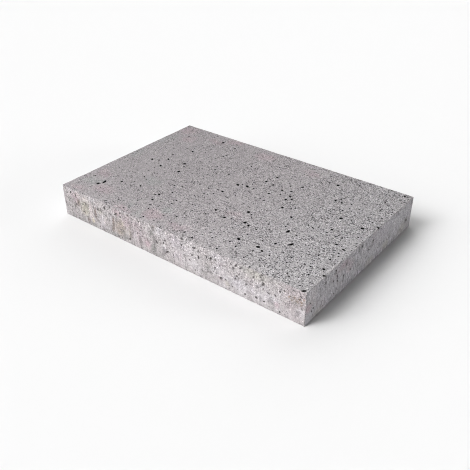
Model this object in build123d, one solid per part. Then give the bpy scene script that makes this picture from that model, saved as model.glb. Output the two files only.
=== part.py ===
"""A concrete paving slab, cast as one piece.

The slab is a flat rectangular block. Its upright corners and the edges of its wearing face are
eased by a small radius, so that they don't spall, and its bedding face has a small bevel all round.

Millimetres. X runs along the length, Y across the width and Z up. The origin is the middle of the
bedding face, which lies on the sand or mortar.
"""

import os

from build123d import *

# The slab, by the sizes that it is sold and laid by
SLAB_LENGTH = 600.0
SLAB_WIDTH = 400.0
SLAB_THICKNESS = 70.0

# Edges, as they come out of the mould
CORNER_RADIUS = 1.5  # on the four upright corners
TOP_ARRIS_RADIUS = 1.0  # round the wearing face
BASE_BEVEL = 1.0  # round the bedding face


def paving_slab():
    """The one cast piece: the laid outline, drawn with its round corners, raised to the thickness."""
    with BuildPart() as slab:
        with BuildSketch(Plane.XY):
            RectangleRounded(SLAB_LENGTH, SLAB_WIDTH, CORNER_RADIUS)
        extrude(amount=SLAB_THICKNESS)
        bedding_face = slab.faces().sort_by(Axis.Z)[0]
        wearing_face = slab.faces().sort_by(Axis.Z)[-1]
        chamfer(bedding_face.edges(), length=BASE_BEVEL)
        fillet(wearing_face.edges(), radius=TOP_ARRIS_RADIUS)
    return slab.part


os.makedirs("parts", exist_ok=True)
export_step(paving_slab(), "parts/paving_slab.step")
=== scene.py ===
import math

import bmesh
import bpy
import numpy as np
from mathutils import Matrix, Vector, noise


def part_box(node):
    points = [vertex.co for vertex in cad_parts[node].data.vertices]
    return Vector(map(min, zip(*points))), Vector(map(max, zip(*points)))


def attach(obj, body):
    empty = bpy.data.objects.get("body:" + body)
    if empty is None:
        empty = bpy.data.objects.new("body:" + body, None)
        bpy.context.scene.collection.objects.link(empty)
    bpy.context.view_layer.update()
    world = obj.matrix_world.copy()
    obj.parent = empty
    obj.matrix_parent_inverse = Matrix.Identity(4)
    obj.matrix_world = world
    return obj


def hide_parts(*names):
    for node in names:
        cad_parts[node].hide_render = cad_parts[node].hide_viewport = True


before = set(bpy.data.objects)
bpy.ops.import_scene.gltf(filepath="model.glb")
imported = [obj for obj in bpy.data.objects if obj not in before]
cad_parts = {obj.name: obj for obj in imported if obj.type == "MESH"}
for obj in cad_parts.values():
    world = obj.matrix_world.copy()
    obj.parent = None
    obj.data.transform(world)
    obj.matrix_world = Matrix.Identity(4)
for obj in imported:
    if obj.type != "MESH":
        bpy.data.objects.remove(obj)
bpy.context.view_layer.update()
scene = bpy.context.scene

# The cast block
# A paving slab is one block of grey concrete, cast in a mould and struck when it has set. Its faces come
# out flat, and its edges have a small round that handling wears unevenly.
SLAB_LOW, SLAB_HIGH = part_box("paving_slab")
SLAB_SIZE = SLAB_HIGH - SLAB_LOW
SLAB_MIDDLE = (SLAB_LOW + SLAB_HIGH) / 2
PANEL = 0.025  # the flat faces are divided into panels of about this size
FLAT_SHARE = 0.9999  # a face is flat if more than this share of its normal lies along one axis
CUT_SNAP = 1e-7  # a point this close to a cut counts as lying on it
ARRIS_ROUND = 0.0011  # the edges' round before wear
ARRIS_SEGMENTS = 3
ARRIS_REACH = 1.01 * ARRIS_ROUND  # a little past the round, to find the points on it
ARRIS_STEP = 0.003  # how closely the wear along an edge changes
NIBBLE = 0.006  # length of a nibble along an edge
NIBBLE_WEAR = 0.75  # how much nibbles change the round, as a share of it
STRETCH = 0.045  # length of a stretch that is worn more or less
STRETCH_WEAR = 0.6  # how much stretches change the round, as a share of it
STRETCH_SHIFT = Vector((5, 1, 3))  # keeps the stretches from lining up with the nibbles
LEAST_ROUND = 0.35  # an edge keeps at least this share of its first round

# Each side by its corner, the way along it and the way across it, with their full lengths
ALONG = Vector((SLAB_SIZE.x, 0, 0))
ACROSS = Vector((0, SLAB_SIZE.y, 0))
UPRIGHT = Vector((0, 0, SLAB_SIZE.z))
SIDES = {
    "wearing_face": (Vector((SLAB_LOW.x, SLAB_HIGH.y, SLAB_HIGH.z)), ALONG, -ACROSS),
    "front_side": (Vector((SLAB_LOW.x, SLAB_LOW.y, SLAB_HIGH.z)), ALONG, -UPRIGHT),
    "right_end": (Vector((SLAB_HIGH.x, SLAB_LOW.y, SLAB_HIGH.z)), ACROSS, -UPRIGHT),
    "back_side": (Vector((SLAB_HIGH.x, SLAB_HIGH.y, SLAB_HIGH.z)), -ALONG, -UPRIGHT),
    "left_end": (Vector((SLAB_LOW.x, SLAB_HIGH.y, SLAB_HIGH.z)), -ACROSS, -UPRIGHT),
    "bedding_face": (Vector((SLAB_LOW.x, SLAB_LOW.y, SLAB_LOW.z)), ALONG, ACROSS),
}
LEVEL_SIDES = ["wearing_face", "bedding_face"]
UPRIGHT_SIDES = ["front_side", "right_end", "back_side", "left_end"]
LININGS = ["pore_shade_lining", "shallow_pore_shade_lining", "worn_arris"]
SLOTS = list(SIDES) + LININGS


def outward(side):
    """The way that a side faces."""
    corner, along, across = SIDES[side]
    return across.cross(along).normalized()


def faced_side(face):
    """The side that a face is turned to the most."""
    return max(SIDES, key=lambda side: face.normal.dot(outward(side)))


def is_flat(face):
    """Whether a face is part of a flat side, and not of an edge's round."""
    return max(abs(share) for share in face.normal) > FLAT_SHARE


def straddles(face, axis, level):
    """Whether a face has points on both sides of a level along one axis."""
    levels = [vert.co[axis] for vert in face.verts]
    return min(levels) < level < max(levels)


def cut_across(mesh, flat, axis, step):
    """Cuts either the flat faces or those of the edges' rounds at even steps along one axis."""
    count = round(SLAB_SIZE[axis] / step)
    direction = Vector((axis == 0, axis == 1, axis == 2))
    for number in range(1, count):
        place = SLAB_LOW + direction * SLAB_SIZE[axis] * number / count
        cut = set()
        for face in mesh.faces:
            if is_flat(face) == flat and straddles(face, axis, place[axis]):
                cut.update([face], face.edges, face.verts)
        bmesh.ops.bisect_plane(mesh, geom=list(cut), dist=CUT_SNAP, plane_co=place, plane_no=direction)


def insets(place):
    """How far a place lies inside the slab's box, along each axis."""
    return [SLAB_SIZE[axis] / 2 - abs(place[axis] - SLAB_MIDDLE[axis]) for axis in range(3)]


def edge_wear(place):
    """How many times its first round an edge has worn to, at a place along it."""
    nibbles = noise.noise(place / NIBBLE)
    stretches = noise.noise(place / STRETCH + STRETCH_SHIFT)
    return max(LEAST_ROUND, 1.0 + NIBBLE_WEAR * nibbles + STRETCH_WEAR * stretches)


block = bmesh.new()
bmesh.ops.create_cube(block, size=1.0, matrix=Matrix.LocRotScale(SLAB_MIDDLE, None, SLAB_SIZE))
bmesh.ops.bevel(
    block, geom=block.edges[:], offset=ARRIS_ROUND, offset_type="OFFSET", segments=ARRIS_SEGMENTS,
    profile=0.5, affect="EDGES", material=-1,
)
block.normal_update()
for flat, step in ((True, PANEL), (False, ARRIS_STEP)):
    for axis in range(3):
        cut_across(block, flat, axis, step)
for face in block.faces:
    face.smooth = not is_flat(face)
    face.material_index = SLOTS.index("worn_arris" if face.smooth else faced_side(face))
for vert in block.verts:
    depths = insets(vert.co)
    near = [axis for axis in range(3) if depths[axis] < ARRIS_REACH]
    if len(near) > 1:
        worn = edge_wear(vert.co)
        for axis in near:
            way = math.copysign(1.0, vert.co[axis] - SLAB_MIDDLE[axis])
            vert.co[axis] = SLAB_MIDDLE[axis] + way * (SLAB_SIZE[axis] / 2 - depths[axis] * worn)
bmesh.ops.triangulate(block, faces=block.faces[:])
block_mesh = bpy.data.meshes.new("cast_slab")
block.to_mesh(block_mesh)
block.free()

# The pores
# Air and water trapped in the mix leave round pores where they meet a face, and knocks break small chips
# from the edges. Both are cut as lumpy bubbles. The larger pores and the chips are placed one by one, and
# many small pores are strewn between them.
LARGE_PORE = 0.0078
MIDDLING_PORE = 0.0059
SMALL_PORE = 0.0043
# Along and across the side, as shares of it, then length over width, turn in degrees, and any bend
PLACED_PORES = {
    ("wearing_face", LARGE_PORE): [
        (0.222, 0.077, 1.1, 60), (0.481, 0.441, 1.4, 30, 0.3), (0.515, 0.426, 1.5, 40),
        (0.226, 0.427, 1.0, 0), (0.252, 0.517, 1.0, 0), (0.623, 0.631, 1.1, 60),
        (0.788, 0.662, 1.5, 100, 0.2), (0.653, 0.72, 1.0, 0), (0.836, 0.743, 1.8, 112, 0.3),
        (0.1, 0.845, 1.9, 70, 0.2), (0.092, 0.877, 1.1, 60), (0.695, 0.85, 1.2, 40),
        (0.766, 0.849, 1.1, 0), (0.758, 0.127, 1.1, 60), (0.96, 0.428, 1.1, 0), (0.878, 0.41, 1.1, 0),
    ],
    ("wearing_face", MIDDLING_PORE): [
        (0.989, 0.993, 1.5, 136), (0.995, 0.856, 1.1, 0), (0.978, 0.816, 1.1, 30), (0.997, 0.377, 1.2, 60),
        (0.974, 0.637, 1.4, 10), (0.18, 0.28, 1.5, 50), (0.559, 0.248, 1.1, 0), (0.806, 0.275, 1.2, 50),
        (0.829, 0.276, 1.3, 60), (0.672, 0.38, 1.3, 60), (0.686, 0.399, 1.1, 30), (0.671, 0.418, 1.0, 0),
        (0.603, 0.419, 1.1, 0), (0.692, 0.495, 1.3, 50), (0.545, 0.32, 1.2, 40), (0.167, 0.525, 1.5, 50),
        (0.47, 0.547, 1.2, 20), (0.672, 0.731, 1.3, 60), (0.583, 0.742, 1.1, 30), (0.315, 0.769, 1.2, 40),
        (0.321, 0.827, 1.1, 0), (0.976, 0.026, 1.3, 70), (0.788, 0.864, 1.2, 30), (0.943, 0.619, 1.1, 0),
        (0.889, 0.524, 1.2, 60), (0.797, 0.78, 1.2, 80), (0.146, 0.787, 1.0, 0), (0.531, 0.712, 1.4, 50),
        (0.58, 0.972, 1.1, 0), (0.105, 0.495, 1.5, 45), (0.668, 0.258, 1.7, 120, 0.5),
        (0.749, 0.545, 1.2, 30), (0.655, 0.332, 1.1, 0), (0.579, 0.33, 1.2, 60), (0.625, 0.35, 1.2, 40),
        (0.152, 0.438, 1.4, 40),
    ],
    ("wearing_face", SMALL_PORE): [
        (0.076, 0.135, 1.3, 50), (0.725, 0.127, 1.1, 0), (0.3, 0.222, 1.2, 50), (0.434, 0.227, 1.5, 50),
        (0.817, 0.248, 1.2, 50), (0.86, 0.26, 1.2, 60), (0.738, 0.701, 1.1, 0), (0.409, 0.378, 1.1, 50),
        (0.345, 0.378, 1.1, 0), (0.24, 0.455, 1.2, 140), (0.493, 0.425, 1.1, 40), (0.542, 0.425, 1.2, 50),
        (0.158, 0.56, 1.2, 40), (0.618, 0.492, 1.0, 0), (0.183, 0.675, 1.6, 45), (0.305, 0.781, 1.1, 0),
        (0.22, 0.76, 1.8, 40, 0.3), (0.038, 0.825, 1.2, 10), (0.683, 0.892, 1.1, 0),
        (0.352, 0.903, 1.2, 30), (0.231, 0.928, 1.3, 40), (0.375, 0.973, 1.4, 40), (0.676, 0.971, 1.1, 30),
        (0.7, 0.795, 1.1, 40), (0.757, 0.796, 1.3, 40), (0.713, 0.908, 1.2, 40), (0.998, 0.035, 1.2, 60),
        (0.941, 0.14, 1.2, 60), (0.968, 0.353, 1.2, 30), (0.876, 0.828, 1.1, 50), (0.138, 0.378, 1.1, 30),
        (0.637, 0.392, 1.1, 0), (0.418, 0.563, 1.4, 40), (0.456, 0.593, 1.3, 45), (0.34, 0.712, 1.2, 40),
        (0.34, 0.635, 1.3, 45), (0.291, 0.098, 1.2, 40), (0.857, 0.34, 1.2, 50), (0.818, 0.06, 1.2, 50),
        (0.767, 0.632, 1.1, 30), (0.717, 0.662, 1.1, 80), (0.822, 0.667, 1.2, 45), (0.835, 0.562, 1.1, 40),
        (0.958, 0.888, 1.1, 40), (0.942, 0.834, 1.1, 40), (0.968, 0.738, 1.1, 40), (0.974, 0.508, 1.2, 40),
        (0.728, 0.46, 1.3, 45), (0.72, 0.478, 1.2, 50), (0.632, 0.285, 1.7, 60, 0.2),
        (0.818, 0.872, 1.2, 60), (0.31, 0.648, 1.3, 10), (0.388, 0.76, 1.1, 30), (0.39, 0.798, 1.1, 20),
        (0.46, 0.877, 1.2, 40),
    ],
    ("front_side", MIDDLING_PORE): [
        (0.04, 0.14, 1.4, 120), (0.21, 0.16, 1.5, 100), (0.262, 0.21, 1.8, 140, 0.3),
        (0.445, 0.5, 1.6, 60), (0.49, 0.68, 1.6, 140), (0.603, 0.15, 1.9, 170, 0.4),
        (0.62, 0.38, 1.5, 80, 0.2), (0.669, 0.24, 1.2, 120), (0.706, 0.715, 1.3, 150),
        (0.762, 0.115, 1.6, 130), (0.836, 0.8, 1.1, 0), (0.322, 0.84, 1.3, 120), (0.555, 0.04, 1.4, 0),
        (0.859, 0.3, 1.5, 110, 0.2),
    ],
    ("front_side", SMALL_PORE): [
        (0.237, 0.06, 1.2, 140), (0.285, 0.23, 1.1, 0), (0.765, 0.425, 1.2, 150), (0.753, 0.225, 1.2, 0),
        (0.778, 0.14, 1.3, 140), (0.854, 0.06, 1.0, 0), (0.93, 0.22, 1.1, 0), (0.916, 0.3, 1.1, 0),
        (0.62, 0.49, 1.2, 20), (0.62, 0.19, 1.2, 150), (0.483, 0.345, 1.4, 150), (0.476, 0.44, 1.2, 130),
        (0.76, 0.52, 1.2, 120), (0.796, 0.86, 1.1, 120), (0.37, 0.11, 1.3, 160), (0.065, 0.47, 1.2, 120),
        (0.065, 0.18, 1.2, 140), (0.115, 0.32, 1.3, 150), (0.1, 0.62, 1.2, 150), (0.552, 0.24, 1.4, 100),
        (0.824, 0.23, 1.1, 150), (0.175, 0.325, 1.3, 160), (0.284, 0.11, 1.4, 160), (0.32, 0.075, 1.3, 0),
        (0.435, 0.44, 1.2, 150), (0.917, 0.91, 1.1, 130), (0.984, 0.18, 1.2, 20), (0.268, 0.92, 1.2, 150),
        (0.877, 0.5, 1.4, 20), (0.901, 0.47, 1.3, 30), (0.863, 0.81, 1.3, 150), (0.652, 0.27, 1.2, 100),
        (0.8, 0.535, 1.3, 150), (0.594, 0.41, 1.3, 150),
    ],
    ("right_end", MIDDLING_PORE): [
        (0.156, 0.03, 1.5, 30), (0.945, 0.63, 1.6, 30),
    ],
    ("right_end", SMALL_PORE): [
        (0.049, 0.71, 1.2, 60), (0.062, 0.66, 1.1, 60), (0.251, 0.35, 1.3, 60), (0.328, 0.23, 1.3, 90),
        (0.465, 0.11, 1.4, 30), (0.236, 0.13, 1.3, 50), (0.308, 0.52, 1.5, 60), (0.577, 0.26, 1.4, 50),
        (0.54, 0.435, 1.6, 40), (0.22, 0.4, 1.2, 40), (0.15, 0.22, 1.2, 70), (0.035, 0.42, 1.2, 45),
        (0.254, 0.51, 1.2, 60),
    ],
}
# Along and across the side, as shares of it, then width, length over width, and turn in degrees
EDGE_CHIPS = {
    "front_side": [
        (0.153, 0.0, 0.0022, 1.2, 90), (0.303, 0.01, 0.0028, 1.5, 0), (0.434, 0.01, 0.003, 1.4, 0),
        (0.582, 0.0, 0.003, 1.6, 0), (0.7, 0.0, 0.0026, 2.0, 0), (0.06, 1.0, 0.004, 1.6, 0),
        (0.21, 1.0, 0.003, 2.0, 0), (0.42, 1.0, 0.004, 1.8, 0), (0.62, 1.0, 0.003, 2.2, 0),
        (0.88, 1.0, 0.0036, 1.6, 0), (0.0, 0.62, 0.003, 1.5, 90),
    ],
    "right_end": [
        (0.3, 0.0, 0.003, 1.4, 0), (0.365, 0.0, 0.003, 1.8, 0), (0.47, 0.01, 0.004, 1.5, 10),
        (0.535, 0.02, 0.0044, 1.3, 20), (0.68, 0.0, 0.0028, 1.6, 0), (0.805, 0.03, 0.0046, 1.7, 25),
        (0.845, 0.06, 0.0038, 1.6, 30), (0.975, 0.03, 0.0044, 1.5, 40), (0.26, 1.0, 0.003, 2.0, 0),
        (0.58, 1.0, 0.004, 1.6, 0), (0.83, 1.0, 0.0034, 2.0, 0), (0.0, 0.35, 0.0026, 1.6, 90),
    ],
    "back_side": [
        (0.05, 0.0, 0.0034, 1.5, 0), (0.19, 0.01, 0.0046, 1.6, 10), (0.33, 0.0, 0.0028, 2.0, 0),
        (0.52, 0.02, 0.004, 1.5, 20), (0.71, 0.0, 0.003, 1.8, 0), (0.9, 0.01, 0.0042, 1.4, 0),
        (0.14, 1.0, 0.0034, 1.7, 0), (0.48, 1.0, 0.0044, 1.5, 0), (0.79, 1.0, 0.003, 2.0, 0),
    ],
    "left_end": [
        (0.12, 0.0, 0.003, 1.7, 0), (0.41, 0.02, 0.0044, 1.5, 15), (0.66, 0.0, 0.0028, 2.0, 0),
        (0.88, 0.01, 0.0036, 1.5, 0), (0.3, 1.0, 0.004, 1.7, 0), (0.74, 1.0, 0.0032, 1.6, 0),
    ],
}
# How many small pores are tried on each side, and how much thicker they lie towards its far end and its
# far edge
STREWN_PORES = {
    "wearing_face": (2300, 0.75, 0.12), "front_side": (330, 0.0, 0.0), "right_end": (60, -0.5, -0.5),
    "back_side": (330, 0.2, 0.0), "left_end": (110, 0.0, 0.0), "bedding_face": (500, 0.0, 0.0),
}
STREWN_SHARE = 0.5  # of those tried at the middle of a side, the share that is kept where there is room
STREWN_SMALLEST = 0.0016
STREWN_LARGEST = 0.0040
STREWN_POWER = 2.2  # the higher, the more of them are small
STREWN_STRETCH = (1.0, 1.4)  # least and greatest length over width
FINE_BUBBLE_FROM = 0.0030  # wider bubbles have a finer mesh
PORE_GAP = 0.0004  # least concrete left between two pores
PORE_DEPTH_SHARE = 0.55  # half a bubble's height over its width, in the wearing and bedding faces
SHALLOW_SHARE = 0.34  # the same in the sides and ends
RIM_SHARE = 0.12  # how far a bubble's middle stands above the face, as a share of half its height
LUMP_SHARE = 0.13  # how far a bubble is from round
PORE_SEED = 20  # fixes the random draws, so that every run casts the same slab
draw = np.random.default_rng(PORE_SEED)


def round_bubble(subdivisions):
    """The corners and triangles of a bubble of radius one. Along, across and outwards make a left-handed
    set, so each triangle's corners are taken the other way round."""
    bubble = bmesh.new()
    bmesh.ops.create_icosphere(bubble, subdivisions=subdivisions, radius=1.0)
    corners = np.array([vert.co for vert in bubble.verts])
    triangles = np.array([[vert.index for vert in reversed(face.verts)] for face in bubble.faces])
    bubble.free()
    return corners, triangles


FINE_BUBBLE = round_bubble(2)
COARSE_BUBBLE = round_bubble(1)
bubble_places, bubble_reaches = [], []
bubble_corners, bubble_triangles, bubble_linings = [], [], []


def trap_bubble(side, along, across, width, stretch, turn, bend=0.0, lining=None):
    """Adds one bubble to those that the concrete sets around, unless it would run into another."""
    corner, along_side, across_side = SIDES[side]
    place = np.array(corner + along_side * along + across_side * across)
    half_length = width / 2 * stretch
    reach = half_length * (1.0 + LUMP_SHARE)
    if bubble_places:
        apart = np.linalg.norm(np.array(bubble_places) - place, axis=1)
        if (apart < np.array(bubble_reaches) + reach + PORE_GAP).any():
            return
    bubble_places.append(place)
    bubble_reaches.append(reach)
    corners, triangles = FINE_BUBBLE if width > FINE_BUBBLE_FROM else COARSE_BUBBLE
    lumps = 1.0 + LUMP_SHARE * draw.uniform(-1.0, 1.0, (len(corners), 1))
    shallow = side in UPRIGHT_SIDES
    deep = width * (SHALLOW_SHARE if shallow else PORE_DEPTH_SHARE)
    shape = corners * lumps * (half_length, width / 2 / stretch ** 0.5, deep)
    shape[:, 1] += bend * (shape[:, 0] ** 2 / half_length - width / 4)
    cosine = math.cos(math.radians(turn))
    sine = math.sin(math.radians(turn))
    turned = np.outer(shape[:, 0] * cosine - shape[:, 1] * sine, along_side.normalized())
    turned += np.outer(shape[:, 0] * sine + shape[:, 1] * cosine, across_side.normalized())
    lifted = np.outer(shape[:, 2] + deep * RIM_SHARE, outward(side))
    first_corner = sum(len(earlier) for earlier in bubble_corners)
    bubble_triangles.append(triangles + first_corner)
    bubble_corners.append(place + turned + lifted)
    lining = lining or ("shallow_pore_shade_lining" if shallow else "pore_shade_lining")
    bubble_linings.extend([LININGS.index(lining)] * len(triangles))


for side, chips in EDGE_CHIPS.items():
    for along, across, width, stretch, turn in chips:
        trap_bubble(side, along, across, width, stretch, turn, lining="worn_arris")
for (side, width), pores in PLACED_PORES.items():
    for along, across, stretch, turn, *bend in pores:
        trap_bubble(side, along, across, width, stretch, turn, *bend)
for side, (tries, towards_end, towards_edge) in STREWN_PORES.items():
    corner, along_side, across_side = SIDES[side]
    for number in range(tries):
        along, across, chance, size_draw, turn = draw.uniform(0.0, 1.0, 5)
        thickly = STREWN_SHARE + towards_end * (along - 0.5) + towards_edge * (across - 0.5)
        width = STREWN_SMALLEST + (STREWN_LARGEST - STREWN_SMALLEST) * size_draw ** STREWN_POWER
        end_room = min(along, 1 - along) * along_side.length
        edge_room = min(across, 1 - across) * across_side.length
        if chance <= thickly and min(end_room, edge_room) >= width:
            stretch = draw.uniform(*STREWN_STRETCH)
            trap_bubble(side, along, across, width, stretch, turn * 360)

corners = np.concatenate(bubble_corners).tolist()
triangles = np.concatenate(bubble_triangles).tolist()
bubbles_mesh = bpy.data.meshes.new("bubbles")
bubbles_mesh.from_pydata(corners, [], triangles)
bubbles_mesh.polygons.foreach_set("material_index", bubble_linings)
bubbles = bpy.data.objects.new("bubbles", bubbles_mesh)
scene.collection.objects.link(bubbles)

# The wearing face's finish
# Hardened cement with sand in it: a warm grey that goes from smooth to coarse across the slab, with pale
# and dark sand grains, pinholes too small to be cut, and faint pink and cool patches from the aggregate.
WEARING_GREY = (0.338, 0.316, 0.324)
COARSE_GREY = (0.330, 0.318, 0.325)  # of the coarser right half
STAIN_COLOURS = {
    "cream": (0.49, 0.445, 0.37), "olive": (0.36, 0.346, 0.308), "beige": (0.325, 0.282, 0.255),
    "pink": (0.385, 0.312, 0.332), "bloom": (0.505, 0.480, 0.500), "grey": (0.25, 0.242, 0.238),
    "rust": (0.275, 0.205, 0.168), "lilac": (0.41, 0.38, 0.41), "brown": (0.20, 0.165, 0.155),
    "soot": (0.11, 0.102, 0.10), "blush": (0.47, 0.425, 0.425), "cool": (0.310, 0.318, 0.312),
}
# Along, across, reach along, reach across, as shares of the face, then colour and strength
WEARING_FACE_STAINS = [
    (0.04, 0.07, 0.06, 0.08, "pink", 0.55), (0.09, 0.17, 0.05, 0.06, "pink", 0.55),
    (0.2, 0.09, 0.06, 0.05, "pink", 0.5), (0.26, 0.03, 0.05, 0.04, "pink", 0.55),
    (0.43, 0.08, 0.06, 0.06, "pink", 0.55), (0.64, 0.1, 0.05, 0.05, "pink", 0.45),
    (0.05, 0.78, 0.05, 0.06, "pink", 0.52), (0.14, 0.9, 0.06, 0.06, "pink", 0.5),
    (0.06, 0.97, 0.05, 0.04, "pink", 0.5), (0.395, 0.93, 0.06, 0.07, "pink", 0.65),
    (0.5, 0.94, 0.06, 0.05, "pink", 0.5), (0.6, 0.69, 0.04, 0.05, "pink", 0.45),
    (0.28, 0.98, 0.06, 0.03, "pink", 0.55), (0.41, 0.86, 0.03, 0.05, "cool", 0.7),
    (0.06, 0.87, 0.05, 0.05, "cool", 0.6), (0.23, 0.68, 0.05, 0.06, "cool", 0.5),
    (0.29, 0.92, 0.03, 0.05, "cool", 0.45), (0.02, 0.24, 0.03, 0.14, "cool", 0.55),
    (0.02, 0.48, 0.03, 0.1, "cool", 0.5), (0.35, 0.96, 0.03, 0.05, "cool", 0.4),
]
STAIN_CORE = 0.2  # share of a stain's reach over which it doesn't fade
FACE_WANDER = (0.02, 0.02)  # size of the bays in these stains' edges, and how far they go in
WANDER_DETAIL = 3.0
# Flecks: their size, the noise's detail, and how far the tone swings
BROAD_FLECKS = (0.14, 3.0, 0.08)
MOTTLE_FLECKS = (0.014, 3.0, 0.085)
SAND_GRAIN = 0.0017
SAND_SWING = 0.60  # how far the tone swings from grain to grain where the cement is coarsest
# Specks: how far apart, in what share of places, and how large for that spacing
PALE_GRAIN = (0.0036, 0.60, 0.42)
PALE_LIFT = 0.48  # how much lighter a pale grain is
PINHOLE = (0.0040, 0.72, 0.43)
PINHOLE_DARK = 0.82  # how much darker a pinhole is
SMALLEST_SPECK = 0.5  # of the largest one's size
SPECK_CORE = 0.75  # share of a speck's radius over which it doesn't fade
# Coarseness, from nought to one, and the tones of painted light and wear, about one
COARSE_LEFT_TO_RIGHT = (0.58, 0.94)
COARSE_FORWARDS = -0.02  # added towards the near edge
HOLED_SHARE = 1.08  # pinholes go with the square of the coarseness, times this
TONE_LEFT_TO_RIGHT = (0.955, 1.07)
TONE_FORWARDS = 0.12  # added towards the near edge
NEAR_BAND = 0.28  # share of the face where the tone rises once more to the near edge
NEAR_BAND_TONES = (1.0, 0.93)  # at the edge, and where the band ends
# Drifts: the size of their patches, the noise's detail, the part of the noise they take, and two levels
COARSE_DRIFT = (0.055, 2.0, 0.3, 0.6, 0.72, 1.12)
ROUGHNESS_DRIFT = (0.03, 2.0, 0.3, 0.7, 0.82, 0.95)
CONCRETE_SHEEN = 0.2
GRAIN_RELIEF = 0.0004  # how high the grain stands


def feed(tree, value, socket):
    """Sets a socket from another socket, or to a plain value."""
    if isinstance(value, bpy.types.NodeSocket):
        tree.links.new(value, socket)
    else:
        socket.default_value = value


def reckon(tree, operation, first, second=0.0, third=0.0):
    """One sum on values."""
    node = tree.nodes.new("ShaderNodeMath")
    node.operation = operation
    for value, socket in zip((first, second, third), node.inputs):
        feed(tree, value, socket)
    return node.outputs["Value"]


def product(tree, *values):
    """All these values multiplied."""
    total = values[0]
    for value in values[1:]:
        total = reckon(tree, "MULTIPLY", total, value)
    return total


def reckon_place(tree, operation, first, second=(0.0, 0.0, 0.0)):
    """One sum on places."""
    node = tree.nodes.new("ShaderNodeVectorMath")
    node.operation = operation
    feed(tree, first, node.inputs[0])
    feed(tree, second, node.inputs[1])
    return node.outputs["Value"] if operation == "LENGTH" else node.outputs["Vector"]


def shade(tree, colour, factor):
    """A colour made lighter or darker by a factor, or a push made longer or shorter."""
    node = tree.nodes.new("ShaderNodeVectorMath")
    node.operation = "SCALE"
    feed(tree, colour, node.inputs["Vector"])
    feed(tree, factor, node.inputs["Scale"])
    return node.outputs["Vector"]


def tint(tree, share, under, over):
    """One colour laid over another, by a share."""
    node = tree.nodes.new("ShaderNodeMix")
    node.data_type = "RGBA"
    feed(tree, share, node.inputs["Factor"])
    for value, name in ((under, "A"), (over, "B")):
        socket = next(each for each in node.inputs if each.name == name and each.type == "RGBA")
        feed(tree, (*value, 1.0) if isinstance(value, tuple) else value, socket)
    return next(each for each in node.outputs if each.type == "RGBA")


def ramp(tree, value, start, end, at_start, at_end):
    """A value that goes smoothly from one level to another between two points."""
    node = tree.nodes.new("ShaderNodeMapRange")
    node.interpolation_type = "SMOOTHSTEP"
    settings = {"Value": value, "From Min": start, "From Max": end, "To Min": at_start, "To Max": at_end}
    for name, number in settings.items():
        feed(tree, number, node.inputs[name])
    return node.outputs["Result"]


def graded(tree, place, axis, at_start, at_end, start=0.0, end=1.0):
    """A value that goes smoothly from one level to another between two shares of the slab along an axis."""
    parts = tree.nodes.new("ShaderNodeSeparateXYZ")
    feed(tree, place, parts.inputs["Vector"])
    number = "XYZ".index(axis)
    start = SLAB_LOW[number] + SLAB_SIZE[number] * start
    end = SLAB_LOW[number] + SLAB_SIZE[number] * end
    return ramp(tree, parts.outputs[axis], start, end, at_start, at_end)


def noise_texture(tree, place, size, detail):
    """A node of soft random patches of about this size."""
    node = tree.nodes.new("ShaderNodeTexNoise")
    feed(tree, place, node.inputs["Vector"])
    node.inputs["Scale"].default_value = 1.0 / size
    node.inputs["Detail"].default_value = detail
    return node


def wander(tree, place, size, reach):
    """Places pushed about at random by up to about this reach, so that a stain on them has ragged edges."""
    push = noise_texture(tree, place, size, WANDER_DETAIL).outputs["Color"]
    centred = reckon_place(tree, "SUBTRACT", push, (0.5, 0.5, 0.5))
    return reckon_place(tree, "ADD", place, shade(tree, centred, 2.0 * reach))


def drift(tree, place, size, detail, start, end, at_start, at_end):
    """A value that drifts between two levels in soft random patches."""
    patches = noise_texture(tree, place, size, detail).outputs["Fac"]
    return ramp(tree, patches, start, end, at_start, at_end)


def swing(tree, value, amount):
    """A random value from nought to one, as a factor that swings about one by this amount."""
    doubled = reckon(tree, "MULTIPLY", amount, 2.0)
    return reckon(tree, "MULTIPLY_ADD", reckon(tree, "SUBTRACT", value, 0.5), doubled, 1.0)


def flecks(tree, place, size, detail, amount):
    """A factor that swings about one in soft random flecks."""
    return swing(tree, noise_texture(tree, place, size, detail).outputs["Fac"], amount)


def grains(tree, place, size):
    """A net of grains of about this size: the distance from each one's middle, and two random draws."""
    node = tree.nodes.new("ShaderNodeTexVoronoi")
    feed(tree, place, node.inputs["Vector"])
    node.inputs["Scale"].default_value = 1.0 / size
    draws = tree.nodes.new("ShaderNodeSeparateColor")
    tree.links.new(node.outputs["Color"], draws.inputs["Color"])
    return node.outputs["Distance"], draws.outputs["Red"], draws.outputs["Green"]


def specks(tree, place, plenty, spacing, share, size):
    """Small round specks in a net, the more of them the greater their plenty."""
    distance, chance, size_draw = grains(tree, place, spacing)
    smallest = SMALLEST_SPECK * size
    radius = reckon(tree, "MULTIPLY_ADD", size_draw, size - smallest, smallest)
    inside = ramp(tree, distance, reckon(tree, "MULTIPLY", radius, SPECK_CORE), radius, 1.0, 0.0)
    kept = reckon(tree, "LESS_THAN", chance, reckon(tree, "MULTIPLY", plenty, share))
    return product(tree, kept, inside)


def stained(tree, side, ragged, colour, stains, texture):
    """A colour with stains laid over it on ragged places, each broken up by a texture about one."""
    corner, along, across = SIDES[side]
    for along_share, across_share, along_reach, across_reach, stain, strength in stains:
        middle = corner + along * along_share + across * across_share
        reach = [abs(one) * along_reach + abs(two) * across_reach or 1.0 for one, two in zip(along, across)]
        offset = reckon_place(tree, "DIVIDE", reckon_place(tree, "SUBTRACT", ragged, middle), reach)
        inside = ramp(tree, reckon_place(tree, "LENGTH", offset), STAIN_CORE, 1.0, 1.0, 0.0)
        colour = tint(tree, product(tree, inside, texture, strength), colour, STAIN_COLOURS[stain])
    return colour


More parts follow.
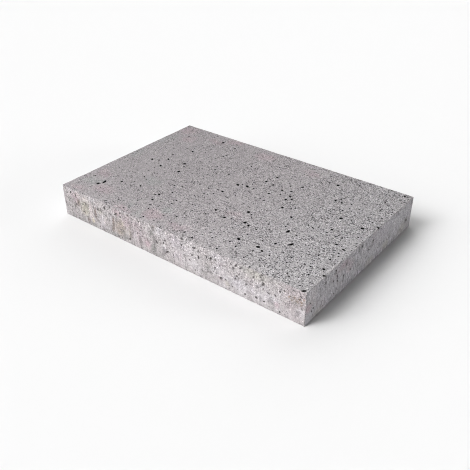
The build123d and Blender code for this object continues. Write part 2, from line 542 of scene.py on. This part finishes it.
def cement(tree, place, coarse, hole_dark, holed=None):
    """The tone of bare cement with sand in it, about one, and the height of its grain."""
    broad = flecks(tree, place, *BROAD_FLECKS)
    mottle = flecks(tree, place, *MOTTLE_FLECKS)
    grain = grains(tree, place, SAND_GRAIN)[1]
    sand = swing(tree, grain, reckon(tree, "MULTIPLY", coarse, SAND_SWING))
    pale = specks(tree, place, coarse, *PALE_GRAIN)
    pinholes = specks(tree, place, coarse if holed is None else holed, *PINHOLE)
    lifted = reckon(tree, "MULTIPLY_ADD", pale, PALE_LIFT, 1.0)
    darkened = reckon(tree, "MULTIPLY_ADD", pinholes, -hole_dark, 1.0)
    tone = product(tree, broad, mottle, sand, lifted, darkened)
    height = reckon(tree, "SUBTRACT", reckon(tree, "MULTIPLY", grain, coarse), pinholes)
    return tone, height


def new_finish(name):
    """A bare material: its node tree, its shader and the place on the slab in metres."""
    finish = bpy.data.materials.new(name)
    finish.use_nodes = True
    tree = finish.node_tree
    shader = next(node for node in tree.nodes if node.type == "BSDF_PRINCIPLED")
    shader.inputs["Specular IOR Level"].default_value = CONCRETE_SHEEN
    place = tree.nodes.new("ShaderNodeTexCoord").outputs["Object"]
    return finish, tree, shader, place


def matt(tree, shader, place, colour, height, relief):
    """Finishes a concrete surface: its roughness drifts a little and its grain stands in relief."""
    feed(tree, colour, shader.inputs["Base Color"])
    feed(tree, drift(tree, place, *ROUGHNESS_DRIFT), shader.inputs["Roughness"])
    bump = tree.nodes.new("ShaderNodeBump")
    bump.inputs["Strength"].default_value = 1.0
    bump.inputs["Distance"].default_value = relief
    feed(tree, height, bump.inputs["Height"])
    tree.links.new(bump.outputs["Normal"], shader.inputs["Normal"])


def wearing_face_finish():
    """The top: smooth and fine at the left, coarse and holed at the right, paler towards the near edge by
    painted light and wear.
    """
    finish, tree, shader, place = new_finish("wearing_face")
    forwards = graded(tree, place, "Y", 1.0, 0.0)
    coarse = graded(tree, place, "X", *COARSE_LEFT_TO_RIGHT)
    coarse = reckon(tree, "MULTIPLY_ADD", forwards, COARSE_FORWARDS, coarse)
    coarse = product(tree, coarse, drift(tree, place, *COARSE_DRIFT))
    holed = product(tree, coarse, coarse, HOLED_SHARE)
    tone, height = cement(tree, place, coarse, PINHOLE_DARK, holed)
    coarse_end = graded(tree, place, "X", 0.0, 1.0, start=0.5)
    colour = tint(tree, coarse_end, WEARING_GREY, COARSE_GREY)
    ragged = wander(tree, place, *FACE_WANDER)
    colour = stained(tree, "wearing_face", ragged, colour, WEARING_FACE_STAINS, 1.0)
    # Painted light and wear: the face is made paler towards the near edge and towards the right.
    near_edge = graded(tree, place, "Y", *NEAR_BAND_TONES, end=NEAR_BAND)
    light_and_wear_forwards = reckon(tree, "MULTIPLY_ADD", forwards, TONE_FORWARDS, near_edge)
    light_and_wear_rightwards = graded(tree, place, "X", *TONE_LEFT_TO_RIGHT)
    colour = shade(tree, colour, product(tree, tone, light_and_wear_forwards, light_and_wear_rightwards))
    matt(tree, shader, place, colour, height, GRAIN_RELIEF)
    return finish


finishes = {"wearing_face": wearing_face_finish()}

# The struck sides' finish
# The long sides stood against the mould, so a skin of lime and fines lies on them: paler than the wearing
# face, drawn down in streaks, stained in places by clay and rust and bleached in others by lime bloom.
SIDE_GREY = (0.387, 0.360, 0.364)
# Along, down, reach along, reach down, as shares of the side, then colour and strength
FRONT_STAINS = [
    (0.04, 0.05, 0.03, 0.12, "bloom", 0.6), (0.075, 0.1, 0.03, 0.13, "blush", 0.8),
    (0.105, 0.17, 0.03, 0.14, "blush", 0.8), (0.135, 0.26, 0.022, 0.12, "blush", 0.8),
    (0.06, 0.3, 0.035, 0.35, "pink", 0.7), (0.076, 0.38, 0.013, 0.18, "brown", 0.9),
    (0.062, 0.5, 0.012, 0.14, "brown", 0.5), (0.064, 0.18, 0.01, 0.1, "brown", 0.6),
    (0.03, 0.75, 0.04, 0.45, "grey", 0.25), (0.115, 0.45, 0.041, 0.36, "olive", 0.75),
    (0.114, 0.31, 0.01, 0.09, "brown", 0.6), (0.098, 0.63, 0.014, 0.1, "brown", 0.5),
    (0.14, 0.5, 0.018, 0.34, "blush", 1.0), (0.145, 0.8, 0.011, 0.14, "cream", 1.0),
    (0.153, 0.16, 0.005, 0.24, "soot", 0.45), (0.16, 0.5, 0.009, 0.3, "brown", 0.95),
    (0.121, 0.84, 0.012, 0.14, "brown", 0.9), (0.1, 0.95, 0.08, 0.16, "grey", 0.45),
    (0.185, 0.36, 0.022, 0.14, "olive", 0.55), (0.176, 0.32, 0.01, 0.07, "soot", 0.4),
    (0.19, 0.27, 0.01, 0.07, "soot", 0.4), (0.205, 0.72, 0.03, 0.35, "lilac", 0.35),
    (0.196, 0.62, 0.006, 0.3, "bloom", 0.6), (0.222, 0.7, 0.006, 0.3, "bloom", 0.5),
    (0.239, 0.31, 0.009, 0.1, "soot", 0.4), (0.248, 0.5, 0.008, 0.26, "brown", 1.0),
    (0.244, 0.76, 0.01, 0.22, "brown", 0.85), (0.28, 0.62, 0.045, 0.46, "beige", 0.95),
    (0.3, 0.8, 0.024, 0.22, "grey", 0.65), (0.293, 0.41, 0.008, 0.08, "cream", 0.7),
    (0.27, 0.12, 0.03, 0.18, "pink", 0.7), (0.268, 0.2, 0.012, 0.09, "brown", 0.5),
    (0.322, 0.08, 0.012, 0.1, "brown", 0.55), (0.315, 0.3, 0.035, 0.32, "pink", 0.6),
    (0.325, 0.6, 0.01, 0.35, "beige", 0.6), (0.24, 0.93, 0.05, 0.14, "grey", 0.85),
    (0.365, 0.5, 0.045, 0.55, "pink", 0.5), (0.35, 0.55, 0.006, 0.3, "grey", 0.3),
    (0.375, 0.45, 0.006, 0.3, "bloom", 0.4), (0.404, 0.7, 0.022, 0.2, "pink", 0.95),
    (0.43, 0.8, 0.018, 0.28, "grey", 0.9), (0.44, 0.45, 0.014, 0.16, "soot", 0.4),
    (0.425, 0.28, 0.014, 0.3, "grey", 0.45), (0.434, 0.06, 0.012, 0.1, "brown", 0.5),
    (0.47, 0.18, 0.03, 0.26, "bloom", 0.5), (0.53, 0.25, 0.05, 0.3, "lilac", 0.5),
    (0.565, 0.6, 0.035, 0.16, "blush", 0.6), (0.545, 0.7, 0.05, 0.35, "bloom", 0.4),
    (0.515, 0.6, 0.008, 0.2, "grey", 0.35), (0.546, 0.66, 0.007, 0.2, "pink", 0.5),
    (0.6, 0.72, 0.045, 0.3, "bloom", 0.4), (0.64, 0.8, 0.025, 0.14, "grey", 0.4),
    (0.657, 0.57, 0.012, 0.18, "grey", 0.85), (0.655, 0.28, 0.01, 0.12, "grey", 0.35),
    (0.695, 0.58, 0.022, 0.16, "blush", 0.8), (0.705, 0.7, 0.018, 0.12, "pink", 0.5),
    (0.728, 0.8, 0.014, 0.2, "cream", 0.4), (0.775, 0.66, 0.05, 0.34, "bloom", 0.8),
    (0.765, 0.62, 0.03, 0.25, "lilac", 0.6), (0.82, 0.62, 0.016, 0.18, "lilac", 0.8),
    (0.845, 0.72, 0.05, 0.3, "bloom", 0.6), (0.8, 0.92, 0.06, 0.2, "bloom", 0.4),
    (0.83, 0.1, 0.07, 0.28, "olive", 0.5), (0.905, 0.74, 0.016, 0.18, "pink", 0.8),
    (0.93, 0.85, 0.06, 0.25, "bloom", 0.35), (0.97, 0.33, 0.035, 0.17, "beige", 0.4),
    (0.945, 0.33, 0.006, 0.05, "rust", 0.8), (0.955, 0.39, 0.006, 0.05, "rust", 0.9),
    (0.962, 0.3, 0.006, 0.05, "rust", 0.8), (0.972, 0.36, 0.007, 0.05, "rust", 0.9),
    (0.979, 0.27, 0.006, 0.05, "rust", 0.9), (0.986, 0.34, 0.006, 0.06, "rust", 0.9),
    (0.991, 0.22, 0.006, 0.06, "rust", 0.8), (0.985, 0.42, 0.006, 0.04, "rust", 0.7),
    (0.985, 0.72, 0.03, 0.25, "bloom", 0.4), (0.068, 0.76, 0.01, 0.18, "grey", 0.6),
    (0.012, 0.7, 0.009, 0.2, "grey", 0.5), (0.042, 0.87, 0.012, 0.1, "grey", 0.55),
    (0.432, 0.34, 0.007, 0.3, "grey", 0.7), (0.455, 0.12, 0.016, 0.2, "bloom", 0.8),
    (0.688, 0.12, 0.035, 0.26, "bloom", 0.55), (0.688, 0.56, 0.028, 0.26, "bloom", 0.7),
    (0.895, 0.6, 0.03, 0.15, "bloom", 0.5), (0.985, 0.62, 0.025, 0.18, "bloom", 0.5),
    (0.56, 0.1, 0.028, 0.2, "grey", 0.35), (0.148, 0.08, 0.024, 0.15, "bloom", 0.6),
    (0.438, 0.66, 0.016, 0.2, "grey", 0.6), (0.148, 0.93, 0.028, 0.13, "grey", 0.7),
    (0.055, 0.5, 0.025, 0.3, "grey", 0.35), (0.478, 0.58, 0.016, 0.18, "bloom", 0.6),
    (0.352, 0.62, 0.016, 0.4, "bloom", 0.35), (0.71, 0.14, 0.04, 0.18, "bloom", 0.55),
    (0.71, 0.4, 0.04, 0.2, "bloom", 0.55), (0.73, 0.63, 0.045, 0.2, "bloom", 0.68),
    (0.795, 0.62, 0.045, 0.18, "bloom", 0.6), (0.71, 0.88, 0.04, 0.15, "bloom", 0.5),
    (0.85, 0.38, 0.04, 0.16, "bloom", 0.35), (0.88, 0.62, 0.04, 0.16, "bloom", 0.4),
    (0.79, 0.11, 0.04, 0.14, "grey", 0.42), (0.87, 0.11, 0.035, 0.14, "grey", 0.34),
    (0.04, 0.37, 0.03, 0.14, "grey", 0.55), (0.04, 0.9, 0.03, 0.13, "grey", 0.4),
    (0.96, 0.41, 0.03, 0.14, "grey", 0.45), (0.29, 0.9, 0.035, 0.13, "grey", 0.5),
    (0.29, 0.62, 0.03, 0.14, "grey", 0.25), (0.458, 0.9, 0.035, 0.13, "grey", 0.55),
    (0.54, 0.37, 0.03, 0.14, "grey", 0.35), (0.21, 0.38, 0.03, 0.14, "grey", 0.34),
    (0.753, 0.24, 0.01, 0.09, "soot", 0.35), (0.062, 0.47, 0.01, 0.09, "soot", 0.22),
    (0.76, 0.52, 0.008, 0.07, "soot", 0.3), (0.778, 0.14, 0.007, 0.06, "soot", 0.35),
    (0.284, 0.11, 0.007, 0.06, "soot", 0.3), (0.285, 0.23, 0.007, 0.06, "soot", 0.3),
    (0.262, 0.21, 0.008, 0.08, "soot", 0.15), (0.434, 0.43, 0.008, 0.08, "soot", 0.35),
    (0.424, 0.32, 0.01, 0.1, "grey", 0.6), (0.028, 0.4, 0.009, 0.09, "grey", 0.6),
    (0.074, 0.91, 0.012, 0.08, "grey", 0.6), (0.09, 0.81, 0.012, 0.08, "grey", 0.55),
    (0.516, 0.86, 0.014, 0.1, "grey", 0.4), (0.57, 0.86, 0.016, 0.08, "grey", 0.45),
    (0.647, 0.77, 0.014, 0.09, "grey", 0.45), (0.078, 0.38, 0.009, 0.1, "brown", 0.5),
    (0.105, 0.52, 0.035, 0.32, "cream", 0.4), (0.215, 0.62, 0.028, 0.26, "beige", 0.3),
]
SKIN_WANDER = (0.007, 0.0035)  # size of the bays in these stains' edges, and how far they go in
SIDE_FOOT_COARSE = (0.44, 0.28)  # left to right
SIDE_TOP_COARSE = 0.72
SIDE_PINHOLE_DARK = 0.42
SIDE_DRAWN = (1.0, 1.0, 0.18)  # heights are shortened, so that the noise is drawn down in streaks
SIDE_STREAKS = (0.0045, 3.0)
SIDE_STREAK_SWING = (0.46, 0.28)  # left to right
SMUDGES = (0.0050, 2.0)
SMUDGE_SWING = (0.45, 0.35)  # left to right
BLOTCH_DRAWN = (1.0, 1.0, 0.6)
BLOTCH_DRIFT = (0.009, 1.0, 0.26, 0.42, 0.70, 1.03)
SIDE_PINK_DRIFT = (0.05, 2.0, 0.45, 0.75, 0.0, 0.35)
BLOOM_DRIFT = (0.07, 3.0, 0.5, 0.7, 0.0, 0.3)
# A thin grey line where the skin broke away at the mould's floor, stronger to the left
FOOT_GREY = (0.31, 0.303, 0.298)
FOOT_HEIGHT = 0.009
FOOT_CORE = 0.3  # share of its height over which it doesn't fade
FOOT_STRENGTH = (0.75, 0.42)  # at the left end, and from the middle on
FOOT_DRIFT = (0.02, 2.0, 0.35, 0.6, 0.3, 1.0)


def side_finish(side, stains):
    """A long side, with these stains on its skin."""
    finish, tree, shader, place = new_finish(side)
    foot_coarse = graded(tree, place, "X", *SIDE_FOOT_COARSE)
    coarse = graded(tree, place, "Z", foot_coarse, SIDE_TOP_COARSE)
    tone, height = cement(tree, place, coarse, SIDE_PINHOLE_DARK)
    drawn = reckon_place(tree, "MULTIPLY", place, SIDE_DRAWN)
    streaks = flecks(tree, drawn, *SIDE_STREAKS, graded(tree, place, "X", *SIDE_STREAK_SWING))
    smudges = flecks(tree, place, *SMUDGES, graded(tree, place, "X", *SMUDGE_SWING))
    squat = reckon_place(tree, "MULTIPLY", place, BLOTCH_DRAWN)
    blotches = drift(tree, squat, *BLOTCH_DRIFT)
    colour = tint(tree, drift(tree, drawn, *SIDE_PINK_DRIFT), SIDE_GREY, STAIN_COLOURS["pink"])
    colour = tint(tree, drift(tree, place, *BLOOM_DRIFT), colour, STAIN_COLOURS["bloom"])
    ragged = wander(tree, place, *SKIN_WANDER)
    colour = stained(tree, side, ragged, colour, stains, streaks)
    foot_share = FOOT_HEIGHT / SLAB_SIZE.z
    foot = graded(tree, place, "Z", 1.0, 0.0, start=foot_share * FOOT_CORE, end=foot_share)
    broken = drift(tree, drawn, *FOOT_DRIFT)
    leftwards = graded(tree, place, "X", *FOOT_STRENGTH, end=0.5)
    colour = tint(tree, product(tree, foot, broken, leftwards), colour, FOOT_GREY)
    colour = shade(tree, colour, product(tree, tone, streaks, smudges, blotches))
    matt(tree, shader, place, colour, height, GRAIN_RELIEF)
    return finish


finishes["front_side"] = side_finish("front_side", FRONT_STAINS)
finishes["back_side"] = side_finish("back_side", [])

# The ends' finish
# The two ends are as the mould's end plates left them: an even, cooler grey, brushed upright, with a little
# pink and bloom. Dark marks lie round the pores. Light is painted on the ends, more towards the foot.
END_GREY = (0.392, 0.3805, 0.400)
END_PINK = (0.375, 0.308, 0.328)
# Along, down, reach along, reach down, as shares of the end, then colour and strength
RIGHT_END_STAINS = [
    (0.02, 0.5, 0.045, 0.25, "pink", 0.9), (0.05, 0.3, 0.05, 0.4, "beige", 0.25),
    (0.03, 0.15, 0.04, 0.25, "bloom", 0.3), (0.31, 0.18, 0.07, 0.2, "pink", 0.6),
    (0.36, 0.4, 0.05, 0.3, "pink", 0.45), (0.09, 0.62, 0.012, 0.2, "brown", 0.35),
    (0.68, 0.3, 0.1, 0.4, "lilac", 0.5), (0.1, 0.9, 0.08, 0.2, "olive", 0.4),
    (0.26, 0.92, 0.05, 0.2, "grey", 0.3), (0.56, 0.86, 0.06, 0.2, "olive", 0.6),
    (0.72, 0.82, 0.05, 0.25, "olive", 0.6), (0.9, 0.8, 0.07, 0.3, "olive", 0.5),
    (0.145, 0.05, 0.016, 0.1, "soot", 0.6), (0.152, 0.2, 0.012, 0.18, "soot", 0.55),
    (0.19, 0.28, 0.01, 0.25, "grey", 0.5), (0.232, 0.15, 0.016, 0.16, "soot", 0.5),
    (0.252, 0.37, 0.01, 0.2, "soot", 0.55), (0.216, 0.4, 0.012, 0.14, "grey", 0.6),
    (0.308, 0.6, 0.01, 0.22, "soot", 0.6), (0.326, 0.2, 0.014, 0.18, "soot", 0.55),
    (0.254, 0.52, 0.012, 0.16, "grey", 0.5), (0.045, 0.4, 0.012, 0.12, "soot", 0.4),
    (0.11, 0.42, 0.012, 0.3, "grey", 0.4), (0.285, 0.3, 0.008, 0.22, "grey", 0.5),
    (0.436, 0.15, 0.014, 0.14, "soot", 0.5), (0.462, 0.1, 0.012, 0.1, "soot", 0.55),
    (0.395, 0.3, 0.01, 0.25, "grey", 0.4), (0.534, 0.42, 0.016, 0.12, "soot", 0.5),
    (0.572, 0.26, 0.018, 0.12, "soot", 0.55), (0.439, 0.6, 0.012, 0.12, "grey", 0.5),
    (0.5, 0.22, 0.01, 0.2, "grey", 0.4), (0.761, 0.62, 0.01, 0.22, "grey", 0.6),
    (0.94, 0.62, 0.022, 0.16, "soot", 0.7), (0.82, 0.1, 0.022, 0.12, "soot", 0.5),
    (0.98, 0.12, 0.012, 0.16, "soot", 0.5), (0.62, 0.03, 0.014, 0.08, "soot", 0.5),
    (0.894, 0.13, 0.012, 0.14, "grey", 0.4), (0.81, 0.35, 0.04, 0.25, "bloom", 0.25),
    (0.97, 0.85, 0.05, 0.32, "grey", 0.5), (0.455, 0.12, 0.05, 0.22, "grey", 0.35),
    (0.15, 0.88, 0.05, 0.18, "bloom", 0.35), (0.25, 0.88, 0.05, 0.18, "bloom", 0.3),
    (0.18, 0.95, 0.06, 0.1, "bloom", 0.45), (0.32, 0.94, 0.06, 0.11, "bloom", 0.32),
    (0.44, 0.93, 0.06, 0.12, "bloom", 0.25), (0.57, 0.9, 0.06, 0.14, "bloom", 0.42),
    (0.69, 0.9, 0.05, 0.14, "bloom", 0.28), (0.82, 0.88, 0.05, 0.16, "grey", 0.4),
    (0.05, 0.36, 0.06, 0.18, "bloom", 0.45), (0.05, 0.12, 0.06, 0.14, "bloom", 0.32),
    (0.56, 0.38, 0.06, 0.14, "grey", 0.4), (0.94, 0.62, 0.06, 0.18, "grey", 0.42),
    (0.44, 0.6, 0.06, 0.16, "grey", 0.25), (0.8, 0.13, 0.07, 0.13, "bloom", 0.32),
]
END_COARSE = (0.22, 0.52)  # foot to top
# Painted light: the ends are made lighter towards the foot
END_PAINTED_LIGHT = (1.16, 0.98)  # foot to top
END_PINHOLE_DARK = 0.37
END_DRAWN = (1.0, 1.0, 0.34)
END_STREAKS = (0.0038, 2.0)
BRUSH_DRIFT = (0.035, 2.0, 0.35, 0.65, 0.35, 1.0)
END_PINK_DRIFT = (0.06, 2.0, 0.5, 0.75, 0.0, 0.3)


def end_finish(side, stains):
    """An end, with these stains on it."""
    finish, tree, shader, place = new_finish(side)
    coarse = graded(tree, place, "Z", *END_COARSE)
    tone, height = cement(tree, place, coarse, END_PINHOLE_DARK)
    drawn = reckon_place(tree, "MULTIPLY", place, END_DRAWN)
    streaks = flecks(tree, drawn, *END_STREAKS, drift(tree, place, *BRUSH_DRIFT))
    colour = tint(tree, drift(tree, place, *END_PINK_DRIFT), END_GREY, END_PINK)
    ragged = wander(tree, place, *SKIN_WANDER)
    colour = stained(tree, side, ragged, colour, stains, 1.0)
    # Painted light: lighter towards the foot than at the top
    painted_light_upwards = graded(tree, place, "Z", *END_PAINTED_LIGHT)
    colour = shade(tree, colour, product(tree, tone, streaks, painted_light_upwards))
    matt(tree, shader, place, colour, height, GRAIN_RELIEF)
    return finish


finishes["right_end"] = end_finish("right_end", RIGHT_END_STAINS)
finishes["left_end"] = end_finish("left_end", [])

# The bedding face's finish
# The underside was struck off by hand and isn't seen once the slab is laid: coarser and a little darker
# than the wearing face, with no bloom and no stains.
# Its colour, its coarseness, how much darker a pinhole is, and how high the grain stands
BEDDING_CEMENT = ((0.30, 0.285, 0.28), 0.75, 0.60, 0.0008)


def plain_finish(name, grey, coarse, hole_dark, relief):
    """Bare cement of one grey and one coarseness."""
    finish, tree, shader, place = new_finish(name)
    tone, height = cement(tree, place, coarse, hole_dark)
    matt(tree, shader, place, shade(tree, grey, tone), height, relief)
    return finish


finishes["bedding_face"] = plain_finish("bedding_face", *BEDDING_CEMENT)

# The worn edges' and the pores' finish
# Where an edge is rubbed or chipped, the fresh concrete shows. Inside the pores it is rough, and painted
# shade makes it dark, the darker the deeper.
# In the same order as the bedding face's
ARRIS_CEMENT = ((0.36, 0.338, 0.345), 0.8, PINHOLE_DARK, 0.0003)
# Of each lining, painted with shade: the colour at the rim, the colour in the dark, and from what depth it
# is fully dark
PORE_SHADE_LININGS = {
    "pore_shade_lining": ((0.13, 0.121, 0.123), (0.008, 0.0075, 0.0075), 0.0016),
    "shallow_pore_shade_lining": ((0.24, 0.22, 0.222), (0.140, 0.130, 0.130), 0.0010),
}
PORE_FLECKS = (0.001, 2.0, 0.4)
PORE_ROUGHNESS = 0.95


def pore_finish(name, rim, dark, dark_from):
    """The lining of the pores, coloured with painted shade by how deep in the slab it lies."""
    finish, tree, shader, place = new_finish(name)
    depth = tree.nodes.new("ShaderNodeAttribute")
    depth.attribute_name = "pore_depth"
    # Painted shade: the lining grows darker the deeper it lies in the slab.
    painted_depth_shade = ramp(tree, depth.outputs["Fac"], 0.0, dark_from, 0.0, 1.0)
    colour = shade(tree, tint(tree, painted_depth_shade, rim, dark), flecks(tree, place, *PORE_FLECKS))
    feed(tree, colour, shader.inputs["Base Color"])
    shader.inputs["Roughness"].default_value = PORE_ROUGHNESS
    return finish


finishes["worn_arris"] = plain_finish("worn_arris", *ARRIS_CEMENT)
for lining, colours in PORE_SHADE_LININGS.items():
    finishes[lining] = pore_finish(lining, *colours)

# The finished slab
# The concrete sets around the trapped bubbles, and the block comes out of the mould with its pores open.
# Its map lays the two faces one above the other, and stands the four sides in columns beside them.
MAP_GAP = 0.008
MAP_WIDTH = SLAB_SIZE.x + 3 * SLAB_SIZE.z + 5 * MAP_GAP
FIRST_COLUMN = SLAB_SIZE.x + 2 * MAP_GAP
COLUMN_STEP = SLAB_SIZE.z + MAP_GAP
UPPER_ROW = SLAB_SIZE.y + 2 * MAP_GAP
MAP_PLACES = {
    "wearing_face": (MAP_GAP, MAP_GAP), "bedding_face": (MAP_GAP, UPPER_ROW),
    "front_side": (FIRST_COLUMN, MAP_GAP), "back_side": (FIRST_COLUMN + COLUMN_STEP, MAP_GAP),
    "right_end": (FIRST_COLUMN + 2 * COLUMN_STEP, MAP_GAP),
    "left_end": (FIRST_COLUMN + 2 * COLUMN_STEP, UPPER_ROW),
}


def mapped_side(face):
    """The side whose part of the map a face belongs to."""
    slot_name = SLOTS[face.material_index]
    if slot_name in SIDES:
        return slot_name
    if slot_name == "worn_arris":
        return faced_side(face)
    middle = face.calc_center_median()
    choice = LEVEL_SIDES if slot_name == "pore_shade_lining" else UPRIGHT_SIDES
    return max(choice, key=lambda side: (middle - SIDES[side][0]).dot(outward(side)))


def map_point(side, place):
    """Where a place on one side lies on the map."""
    corner, along, across = SIDES[side]
    one = (place - corner).dot(along.normalized())
    two = (place - corner).dot(across.normalized())
    left, foot = MAP_PLACES[side]
    if side in LEVEL_SIDES:
        return Vector((left + one, foot + across.length - two)) / MAP_WIDTH
    return Vector((left + two, foot + one)) / MAP_WIDTH


for slot_name in SLOTS:
    block_mesh.materials.append(finishes[slot_name])
for lining in LININGS:
    bubbles_mesh.materials.append(finishes[lining])
slab = bpy.data.objects.new("cast_slab", block_mesh)
scene.collection.objects.link(slab)
opening = slab.modifiers.new("pores", "BOOLEAN")
opening.operation = "DIFFERENCE"
opening.solver = "MANIFOLD"
opening.material_mode = "TRANSFER"
opening.object = bubbles
cast = bpy.data.meshes.new_from_object(slab.evaluated_get(bpy.context.evaluated_depsgraph_get()))
slab.modifiers.clear()
bpy.data.objects.remove(bubbles)
pitted = bmesh.new()
pitted.from_mesh(cast)
bmesh.ops.triangulate(pitted, faces=[face for face in pitted.faces if len(face.verts) > 3])
pore_slots = [SLOTS.index(lining) for lining in PORE_SHADE_LININGS]
depth_layer = pitted.verts.layers.float.new("pore_depth")
for vert in pitted.verts:
    vert[depth_layer] = min(insets(vert.co))
map_layer = pitted.loops.layers.uv.new("OFBake")
for face in pitted.faces:
    if face.material_index in pore_slots:
        face.smooth = True
    side = mapped_side(face)
    for face_corner in face.loops:
        face_corner[map_layer].uv = map_point(side, face_corner.vert.co)
for edge in pitted.edges:
    slots = [face.material_index for face in edge.link_faces]
    if edge.is_manifold and slots[0] != slots[1]:
        edge.smooth = not any(slot in pore_slots for slot in slots)
pitted.to_mesh(cast)
pitted.free()
slab.data = cast
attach(slab, "root")
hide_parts("paving_slab")

# The studio floor
# A wide sheet of matt white board under the slab, level with its bedding face. It isn't part of the slab.
FLOOR_REACH = 25.0
FLOOR_PAINT = {"Base Color": (0.85, 0.85, 0.85, 1.0), "Roughness": 0.9, "Specular IOR Level": 0.2}
floor_sheet = bmesh.new()
floor_level = Matrix.Translation((0, 0, SLAB_LOW.z))
bmesh.ops.create_grid(floor_sheet, x_segments=1, y_segments=1, size=FLOOR_REACH, matrix=floor_level)
floor_mesh = bpy.data.meshes.new("floor")
floor_sheet.to_mesh(floor_mesh)
floor_sheet.free()
floor_paint = bpy.data.materials.new("floor_paint")
floor_paint.use_nodes = True
floor_shader = next(node for node in floor_paint.node_tree.nodes if node.type == "BSDF_PRINCIPLED")
for name, value in FLOOR_PAINT.items():
    floor_shader.inputs[name].default_value = value
floor_mesh.materials.append(floor_paint)
floor = bpy.data.objects.new("floor", floor_mesh)
scene.collection.objects.link(floor)

# The studio lights
# Six large soft lights stand round the slab, the strongest in front of it to the left, so that its shadow
# falls softly to the right. The room beyond the floor looks white but gives no light.
# Of each: the way it comes from, its height, how wide it is, all in degrees, and its strength
SOFT_LIGHTS = {
    "front_wide": (240, 25, 60, 2.36), "front_high": (240, 55, 20, 0.99),
    "front_middle": (240, 35, 20, 0.82), "left_wide": (180, 45, 60, 0.83),
    "back_wide": (120, 25, 60, 1.30), "right_low": (30, 10, 20, 1.00),
}
ROOM_WHITE = (1.0, 1.0, 1.0, 1.0)
PIXEL_WIDTH = 1.0  # each pixel takes in little of the next, as in the photograph


def heading(azimuth, height):
    """The way to a point in the sky, by its degrees round from the slab's right and up from the floor."""
    azimuth = math.radians(azimuth)
    height = math.radians(height)
    level = math.cos(height)
    return Vector((math.cos(azimuth) * level, math.sin(azimuth) * level, math.sin(height)))


for name, (azimuth, height, width, strength) in SOFT_LIGHTS.items():
    lamp = bpy.data.lights.new(name, "SUN")
    lamp.energy = strength
    lamp.angle = math.radians(width)
    light = bpy.data.objects.new(name, lamp)
    light.rotation_mode = "QUATERNION"
    light.rotation_quaternion = heading(azimuth, height).to_track_quat("Z", "Y")
    scene.collection.objects.link(light)
room = bpy.data.worlds.new("white_room")
room.use_nodes = True
backdrop = room.node_tree.nodes["Background"]
backdrop.inputs["Color"].default_value = ROOM_WHITE
ray = room.node_tree.nodes.new("ShaderNodeLightPath")
room.node_tree.links.new(ray.outputs["Is Camera Ray"], backdrop.inputs["Strength"])
scene.world = room
scene.view_settings.view_transform = "Standard"
scene.cycles.filter_width = PIXEL_WIDTH
scene.cycles.denoising_prefilter = "NONE"  # keeps the fine grain

# The camera
# It stands in front of the slab to its right and looks down on it, as the photograph was taken. It aims at
# the middle of the slab's foot, and is then moved a little aside and down.
CAMERA_AZIMUTH = -52.139
CAMERA_HEIGHT = 32.501
CAMERA_DISTANCE = 1.333
FRAME_RIGHT = -0.00029
FRAME_UP = -0.03194
SENSOR = 36.0
LENS = 48.484
back = heading(CAMERA_AZIMUTH, CAMERA_HEIGHT)
right = heading(CAMERA_AZIMUTH + 90, 0)
camera = bpy.data.objects.new("camera", bpy.data.cameras.new("camera"))
camera.data.sensor_width = SENSOR
camera.data.lens = LENS
camera.location = back * CAMERA_DISTANCE + right * FRAME_RIGHT + back.cross(right) * FRAME_UP
camera.rotation_mode = "QUATERNION"
camera.rotation_quaternion = (-back).to_track_quat("-Z", "Y")
scene.collection.objects.link(camera)
scene.camera = camera
